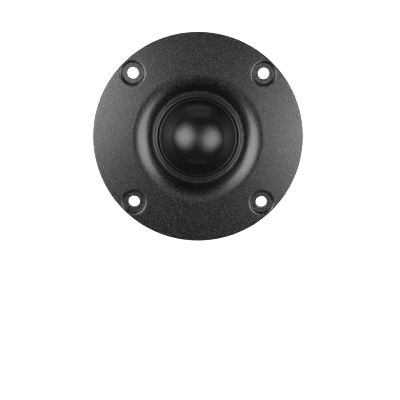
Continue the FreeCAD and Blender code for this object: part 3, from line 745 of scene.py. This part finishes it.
def make_cup():
    base_radius = 22.7
    side = arc((base_radius, BASE_Z + 0.5), (CUP_RADIUS, SEAM_Z), 20.0, 1, 26)
    rounding = [(base_radius - 1.5, BASE_Z), (base_radius - 0.75, BASE_Z + 0.03),
                (base_radius - 0.35, BASE_Z + 0.13), (base_radius - 0.1, BASE_Z + 0.3)]
    strengths = [0.35, 0.7, 0.9, 1.0]
    lip = [(CUP_RADIUS - 0.03, SEAM_Z - 0.10), (CUP_RADIUS - 0.12, SEAM_Z - 0.02),
           (CUP_RADIUS - 0.25, SEAM_Z)]
    inside = [(24.3, SEAM_Z), (24.3, -19.4), (23.0, -19.4), (23.0, SEAM_Z)]
    inside += arc((23.0, SEAM_Z), (20.1, BASE_Z + 2.6), 20.0, -1, 10)[1:]
    rings = [[(0.0, 0.0, BASE_Z)]]
    rings += [ribbed_ring(r, BASE_Z, 0.0) for r in (6.0, 14.0, 19.0)]
    rings += [ribbed_ring(r, z, s) for (r, z), s in zip(rounding, strengths)]
    rings += [ribbed_ring(r, z, 1.0) for r, z in side[:-1] + lip]
    rings += [ribbed_ring(r, z, 0.0) for r, z in inside]
    rings += [[(0.0, 0.0, BASE_Z + 2.6)]]
    cup = make_object("rear_cup_shell", *loft(rings, closed=False), sharp=50.0)
    tidy_normals(cup)
    return stand_for(cup, "rear_cup", HOUSING)


# ---- Dark band ----------------------------------------------------------------------------

def sheet_between(outer, inner):
    """Vertices and faces of a closed thin sheet from two matching grids of points."""
    columns, rows = len(outer), len(outer[0])
    vertices = [point for column in outer + inner for point in column]
    back = columns * rows
    faces = []
    for c in range(columns - 1):
        for r in range(rows - 1):
            corner = (c * rows + r, (c + 1) * rows + r, (c + 1) * rows + r + 1, c * rows + r + 1)
            faces.append(corner)
            faces.append(tuple(back + i for i in reversed(corner)))
    edge = [c * rows for c in range(columns)]
    edge += [(columns - 1) * rows + r for r in range(1, rows)]
    edge += [c * rows + rows - 1 for c in range(columns - 2, -1, -1)]
    edge += list(range(rows - 2, 0, -1))
    for first, second in zip(edge, edge[1:] + edge[:1]):
        faces.append((first, back + first, back + second, second))
    return vertices, faces


def make_dark_band():
    """Black band with a ragged lower edge, on the top of the chamber above the label."""
    facing, half_turn, step, rows, top_z = -90.0, 62.0, 0.6, 9, -2.0
    outer, inner = [], []
    for angle in np.arange(facing - half_turn, facing + half_turn + step / 2, step):
        dip = groove_depth(float(angle), 0.62)
        edge_wobble = noise.fractal(Vector((float(angle) * 0.16, 7.7, 0.0)), 0.9, 2.0, 4)
        low_z = -8.9 - 1.3 * edge_wobble
        turn = math.radians(angle)
        along = (math.cos(turn), math.sin(turn))
        outside, inside = [], []
        for row in range(rows):
            z = top_z + (low_z - top_z) * row / (rows - 1)
            lump = noise.noise(Vector((float(angle) * 0.3, z * 0.8, 2.0)))
            reach = BODY_RADIUS + 0.22 - 0.85 * dip + 0.07 * lump
            outside.append((along[0] * reach, along[1] * reach, z))
            under = BODY_RADIUS - dip - 0.02
            inside.append((along[0] * under, along[1] * under, z))
        outer.append(outside)
        inner.append(inside)
    dark_band = make_object("dark_band_front", *sheet_between(outer, inner), sharp=60.0)
    return stand_for(dark_band, "motor_housing", DARK_BAND)


# ---- Label --------------------------------------------------------------------------------

BAR_WIDTHS = (3, 1, 1, 2, 1, 3, 2, 1, 4, 1, 2, 2, 1, 1, 3, 1, 2, 1, 4, 2, 1, 1, 3, 2, 1, 2, 1, 3, 1, 1, 2, 4,
              1, 2, 3, 1, 1, 1, 2, 1, 3)
LABEL_WIDTH = 31.8
LABEL_LOW = SEAM_Z + 0.1
LABEL_HIGH = SEAM_Z + 12.7


def label_print():
    """Printed areas as (left, right, low, high) in millimetres: made-up bars and a row of dashes."""
    left, right = -LABEL_WIDTH / 2 + 1.5, LABEL_WIDTH / 2 - 2.3
    unit = (right - left) / sum(BAR_WIDTHS)
    areas = []
    place = left
    for index, width in enumerate(BAR_WIDTHS):
        if index % 2 == 0:
            areas.append((place, place + width * unit, LABEL_HIGH - 7.6, LABEL_HIGH - 1.2))
        place += width * unit
    for dash in range(7):
        start = -5.9 + dash * 1.68
        areas.append((start, start + 1.05, LABEL_HIGH - 10.0, LABEL_HIGH - 9.2))
    return areas


def make_label():
    areas = label_print()
    columns = {round(x, 4) for area in areas for x in area[:2]}
    columns |= set(np.round(np.linspace(-LABEL_WIDTH / 2, LABEL_WIDTH / 2, 90), 4))
    columns = sorted(columns)
    rows = sorted({round(z, 4) for area in areas for z in area[2:]} | {LABEL_LOW, LABEL_HIGH - 0.9})

    def top_edge(x):
        edge_wobble = noise.fractal(Vector((x * 0.55, 3.1, 0.0)), 0.9, 2.0, 4)
        return LABEL_HIGH - 0.12 - 0.42 * min(max(0.5 + edge_wobble, 0.0), 1.0)

    def place(x, z, radius):
        angle = math.radians(-90.0) + x / BODY_RADIUS
        return (radius * math.cos(angle), radius * math.sin(angle), z)

    heights = [[*rows, top_edge(x)] for x in columns]
    levels = len(rows) + 1
    vertices, faces, inked = [], [], []
    for radius in (BODY_RADIUS + 0.12, BODY_RADIUS + 0.01):
        for x, column in zip(columns, heights):
            vertices.extend(place(x, z, radius) for z in column)
    back = len(columns) * levels
    for c in range(len(columns) - 1):
        for r in range(levels - 1):
            corner = [c * levels + r, (c + 1) * levels + r, (c + 1) * levels + r + 1, c * levels + r + 1]
            x = (columns[c] + columns[c + 1]) / 2
            z = (heights[c][r] + heights[c][r + 1]) / 2
            faces.append(tuple(corner))
            inked.append(any(a < x < b and low < z < high for a, b, low, high in areas))
            faces.append(tuple(back + i for i in reversed(corner)))
            inked.append(False)
    edge = [c * levels for c in range(len(columns))]
    edge += [(len(columns) - 1) * levels + r for r in range(1, levels)]
    edge += [c * levels + levels - 1 for c in range(len(columns) - 2, -1, -1)]
    edge += [r for r in range(levels - 2, 0, -1)]
    for index, first in enumerate(edge):
        second = edge[(index + 1) % len(edge)]
        faces.append((first, back + first, back + second, second))
        inked.append(False)
    label = make_object("label_sheet", vertices, faces, sharp=40.0)
    label.data.materials.append(PAPER)
    label.data.materials.append(INK)
    label.data.polygons.foreach_set("material_index", [int(flag) for flag in inked])
    return stand_for(label, "label", None)


# ---- Terminals ----------------------------------------------------------------------------

def make_holder(name, side):
    reach, bottom, inside = 31.4, -19.9, 24.9

    def outline(points):
        return [(side * x, z) for x, z in points]

    shield = fillet([
        (inside, bottom, 0), (reach, bottom, 0.9), (reach, -0.02, 0), (reach - 1.0, -0.02, 0),
        (reach - 1.0, bottom + 1.0, 1.5), (inside, bottom + 1.0, 0),
    ])
    holder = make_object(f"terminal_holder_{name}_moulding", *prism(outline(shield), -6.5, 6.5))
    web = [(inside, bottom + 0.2), (reach - 0.5, bottom + 0.2), (reach - 0.5, -0.02), (inside, -0.02)]
    neck = fillet([(TAB_X - 1.6, bottom - 2.4, 0.5), (TAB_X + 0.8, bottom - 2.4, 0.4),
                   (TAB_X + 0.8, bottom + 0.3, 0), (TAB_X - 1.6, bottom + 0.3, 0)])
    boolean(holder, [prism(outline(web), -3.2, 3.2)], "UNION")
    boolean(holder, [prism(outline(neck), -3.2, 3.2)], "UNION")
    slot = [(TAB_X - 0.45, -24.0), (TAB_X + 0.45, -24.0), (TAB_X + 0.45, 1.0), (TAB_X - 0.45, 1.0)]
    channel = [(24.4, -3.65), (TAB_X, -3.65), (TAB_X, 1.0), (24.4, 1.0)]
    boolean(holder, [prism(outline(slot), -2.45, 2.45)])
    boolean(holder, [prism(outline(channel), -0.45, 0.45)])
    seat = [(0.0, -30.0), (BODY_RADIUS - 0.02, -30.0), (BODY_RADIUS - 0.02, 5.0), (0.0, 5.0)]
    boolean(holder, [loft(turned_rings(seat, 360), closed=False)])
    bevel(holder, 0.16, segments=2)
    tidy_normals(holder)
    return stand_for(holder, f"terminal_holder_{name}", HOLDER)


def make_tab(name, side):
    half, neck_z, tip_z, lean = 0.4, -22.3, -31.6, 1.7
    blade = [(TAB_X - lean - half, tip_z), (TAB_X - lean + half, tip_z), (TAB_X + half, neck_z),
             (TAB_X + half, -6.0), (TAB_X - half, -6.0), (TAB_X - half, neck_z)]
    tab = make_object(f"terminal_tab_{name}_blade", *prism([(side * x, z) for x, z in blade], -2.4, 2.4))
    hole = [(0.65 * math.cos(a), tip_z + 3.1 + 0.65 * math.sin(a))
            for a in (2 * math.pi * step / 32 for step in range(32))]
    clipped = [[(sign * 2.6, tip_z - 0.5), (sign * 1.3, tip_z - 0.5), (sign * 2.6, tip_z + 1.5)]
               for sign in (-1, 1)]
    low, high = sorted((side * 26.0, side * 32.0))
    boolean(tab, [prism(outline, low, high, axis="X") for outline in [hole, *clipped]])
    bevel(tab, 0.1, segments=2)
    tidy_normals(tab)
    return stand_for(tab, f"terminal_tab_{name}", GOLD)


# ---- Soft and rubber pieces inside --------------------------------------------------------

def make_inner_soft():
    chamber = lathe("chamber_foam_pad", fillet([
        (0.0, -31.3, 0), (18.0, -31.3, 0.8), (18.0, -18.3, 0.8), (0.0, -18.3, 0)], closed=False), segments=96)
    roughened(chamber, 1.0, foam_shift(1.8, 0.5, 0.3))
    ring = lathe("pole_felt_ring", fillet([
        (4.0, -3.8, 0.1), (11.5, -3.8, 0.1), (11.5, -2.4, 0.3), (4.0, -2.4, 0.3)]), segments=96)
    roughened(ring, 0.35, foam_shift(0.7, 0.08, 0.06))
    plug = lathe("vent_plug_felt", fillet([
        (0.0, -14.5, 0), (3.95, -14.5, 0.3), (3.95, -11.5, 0.3), (0.0, -11.5, 0)], closed=False), segments=64)
    roughened(plug, 0.35, foam_shift(0.7, 0.08, 0.06))
    seal = lathe("chamber_seal_ring", fillet([
        (23.0, -19.4, 0.2), (24.35, -19.4, 0.2), (24.35, -18.6, 0.2), (23.0, -18.6, 0.2)]), segments=200)
    stand_for(chamber, "chamber_foam", DAMPING)
    stand_for(ring, "pole_felt", FELT)
    stand_for(plug, "vent_plug", FELT)
    stand_for(seal, "chamber_seal", RUBBER)
    return [chamber, ring, plug, seal]


root_pieces = [make_plate(), make_gasket(), make_clamp_ring(), make_housing(), make_cup(), make_label()]
root_pieces += [make_holder("positive", 1), make_holder("negative", -1)]
root_pieces += [make_tab("positive", 1), make_tab("negative", -1)]
root_pieces.append(make_dark_band())
root_pieces += make_inner_soft()
for piece in root_pieces:
    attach(piece, "root")
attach(make_dome(), "diaphragm")
make_surround()
make_lead_outs()


# ---- Floor, lights and camera -------------------------------------------------------------

def make_floor():
    """Pale floor that looks brighter to the camera than the light it gives the object."""
    half = 1500.0
    z = BASE_Z - 0.02
    corners = [(-half, -half, z), (half, -half, z), (half, half, z), (-half, half, z)]
    floor = make_object("studio_floor", corners, [(0, 1, 2, 3)])
    f = Finish("studio_floor")
    f.colour(f.mix(f.noise(0.002, 2.0), (0.86, 0.86, 0.86), (0.84, 0.84, 0.84)))
    f.roughness(0.9)
    f.shader.inputs["Emission Color"].default_value = (1.0, 1.0, 1.0, 1.0)
    path = f.tree.nodes.new("ShaderNodeLightPath")
    given, seen = 0.60, 0.92
    f.put(f.shader.inputs["Emission Strength"], f.remap(path.outputs["Is Camera Ray"], 0.0, 1.0, given, seen))
    floor.data.materials.append(f.material)


def add_softbox(name, place, aim, width, height, power, turn=0.0):
    light = bpy.data.lights.new(name, "AREA")
    light.shape = "RECTANGLE"
    light.size = width
    light.size_y = height
    light.energy = power
    obj = bpy.data.objects.new(name, light)
    bpy.context.scene.collection.objects.link(obj)
    rotation = (Vector(aim) - Vector(place)).to_track_quat("-Z", "Y").to_matrix().to_4x4()
    obj.matrix_world = Matrix.Translation(place) @ rotation @ Matrix.Rotation(math.radians(turn), 4, "Z")
    obj.visible_camera = False


def set_world(background, ambient):
    """White where the camera looks past the object, and a dim even fill everywhere else."""
    world = bpy.data.worlds.new("studio")
    bpy.context.scene.world = world
    world.use_nodes = True
    tree = world.node_tree
    base = tree.nodes["Background"]
    base.inputs["Color"].default_value = (1.0, 1.0, 1.0, 1.0)
    path = tree.nodes.new("ShaderNodeLightPath")
    strength = tree.nodes.new("ShaderNodeMapRange")
    strength.inputs["To Min"].default_value = ambient
    strength.inputs["To Max"].default_value = background
    tree.links.new(path.outputs["Is Camera Ray"], strength.inputs["Value"])
    tree.links.new(strength.outputs["Result"], base.inputs["Strength"])


def set_camera():
    camera = bpy.data.cameras.new("camera")
    camera.sensor_width = 36.0
    camera.lens = 78.8
    camera.clip_start = 0.01
    camera.clip_end = 20.0
    obj = bpy.data.objects.new("camera", camera)
    bpy.context.scene.collection.objects.link(obj)
    place = (-0.0008, 0.0526, 0.4348)
    angles = {"X": -10.97, "Y": -0.25, "Z": 0.21}
    turn = Matrix.Identity(4)
    for axis, degrees in angles.items():
        turn = turn @ Matrix.Rotation(math.radians(degrees), 4, axis)
    obj.matrix_world = Matrix.Translation(place) @ turn
    bpy.context.scene.camera = obj


make_floor()
add_softbox("softbox_left", (-0.148, 0.012, 0.170), (0, 0, 0.005), 0.192, 0.192, 0.80, turn=45)
add_softbox("softbox_right", (0.148, -0.018, 0.170), (0, 0, 0.005), 0.178, 0.192, 0.68, turn=45)
add_softbox("top_fill", (0.0, 0.20, 0.62), (0, 0.03, 0), 0.40, 0.26, 0.08)
add_softbox("top_strip", (0.0, 0.45, 0.075), (0, 0, 0), 0.50, 0.06, 0.16)
add_softbox("front_fill", (0.0, -0.60, -0.017), (0, 0, -0.017), 0.6, 0.024, 0.16)
add_softbox("back_fill", (0.0, 0.60, -0.017), (0, 0, -0.017), 0.6, 0.024, 0.16)
set_world(background=1.0, ambient=0.02)
set_camera()
bpy.context.scene.view_settings.view_transform = "Standard"
bpy.context.scene.view_settings.look = "None"
